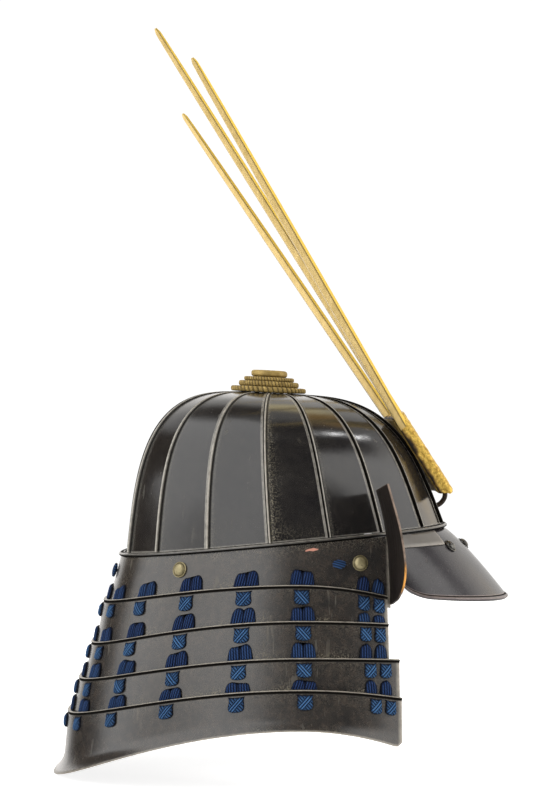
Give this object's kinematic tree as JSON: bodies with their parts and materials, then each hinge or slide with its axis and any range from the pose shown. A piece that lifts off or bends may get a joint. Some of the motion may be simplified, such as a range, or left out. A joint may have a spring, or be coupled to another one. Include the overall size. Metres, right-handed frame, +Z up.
{
  "type": "samurai helmet",
  "caption": "Ribbed iron helmet bowl with a stepped finial, a peaked visor, a laced neck guard with turned-back flaps and a forked gilt crest on a hook.",
  "frame": {"origin": "on the finial's axis at the top of the bowl's hollow, where the crown of the head seats", "axes": "+X towards the helmet's front, +Y towards the wearer's left, +Z up"},
  "size_m": [0.327, 0.2944, 0.5321],
  "materials": {
    "black_lacquer": "worn black lacquer over iron, glossy to satin",
    "aged_brass": "tarnished brass",
    "gilt": "worn gilding",
    "bare_iron": "dark iron",
    "indigo_braid": "braided silk cord"
  },
  "bodies": {
    "root": {"bowl_plate_01": "black_lacquer", "bowl_plate_02": "black_lacquer", "bowl_plate_03": "black_lacquer", "bowl_plate_04": "black_lacquer", "bowl_plate_05": "black_lacquer", "bowl_plate_06": "black_lacquer", "bowl_plate_07": "black_lacquer", "bowl_plate_08": "black_lacquer", "bowl_plate_09": "black_lacquer", "bowl_plate_10": "black_lacquer", "bowl_plate_11": "black_lacquer", "bowl_plate_12": "black_lacquer", "bowl_plate_13": "black_lacquer", "bowl_plate_14": "black_lacquer", "bowl_plate_15": "black_lacquer", "bowl_plate_16": "black_lacquer", "rim_band": "black_lacquer", "waist_band": "black_lacquer", "visor": "black_lacquer", "visor_strip_right": "black_lacquer", "visor_strip_left": "black_lacquer", "lame_1": "black_lacquer", "lame_2": "black_lacquer", "lame_3": "black_lacquer", "lame_4": "black_lacquer", "lame_5": "black_lacquer", "finial_base": "aged_brass", "finial_ring_lower": "aged_brass", "finial_ring_upper": "aged_brass", "finial_collar": "aged_brass", "lame_rivet_right_back": "aged_brass", "lame_rivet_right_front": "aged_brass", "lame_rivet_left_back": "aged_brass", "lame_rivet_left_front": "aged_brass", "visor_rivet_right": "bare_iron", "visor_rivet_front": "bare_iron", "visor_rivet_left": "bare_iron", "crest_hook": "bare_iron", "side_knot_right": "indigo_braid", "side_knot_left": "indigo_braid", "back_knot": "indigo_braid", "lacing_back": "indigo_braid", "lacing_right_1": "indigo_braid", "lacing_left_1": "indigo_braid", "lacing_right_2": "indigo_braid", "lacing_left_2": "indigo_braid", "lacing_right_3": "indigo_braid", "lacing_left_3": "indigo_braid", "lacing_right_4": "indigo_braid", "lacing_left_4": "indigo_braid", "lacing_right_5": "indigo_braid", "lacing_left_5": "indigo_braid", "lacing_right_6": "indigo_braid", "lacing_left_6": "indigo_braid", "lacing_right_7": "indigo_braid", "lacing_left_7": "indigo_braid", "crest_prong_centre": "gilt", "crest_prong_left": "gilt", "crest_prong_right": "gilt", "crest_base": "gilt"}
  },
  "joints": []
}
